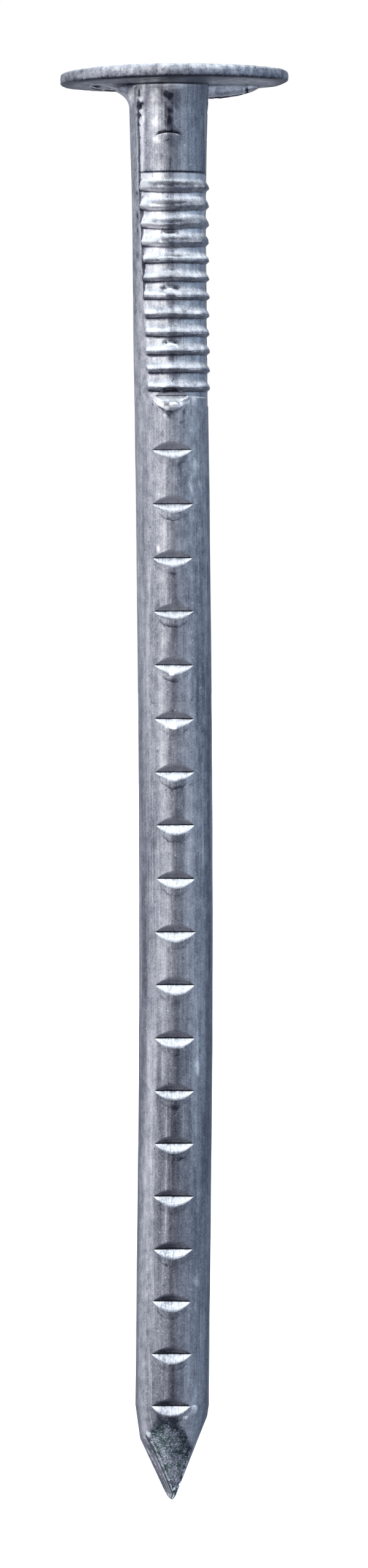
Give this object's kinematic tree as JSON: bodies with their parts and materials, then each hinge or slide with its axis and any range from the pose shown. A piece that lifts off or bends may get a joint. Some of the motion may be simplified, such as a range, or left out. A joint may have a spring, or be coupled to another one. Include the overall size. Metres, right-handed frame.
{
  "type": "nail",
  "caption": "Bare wire nail with a large thin flat head, a ring-gripped neck, a shank with rows of barb notches and a pinched point.",
  "frame": {"origin": "on the shank's axis, in the plane of the head's underside", "axes": "+Z along the shank's axis from the point to the head, -Y towards the front row of notches"},
  "size_m": [0.0096, 0.0096, 0.0601],
  "materials": {
    "bare_wire": "bare drawn wire, fine streaks along its length, semi-bright"
  },
  "bodies": {
    "root": {"nail": "bare_wire"}
  },
  "joints": []
}
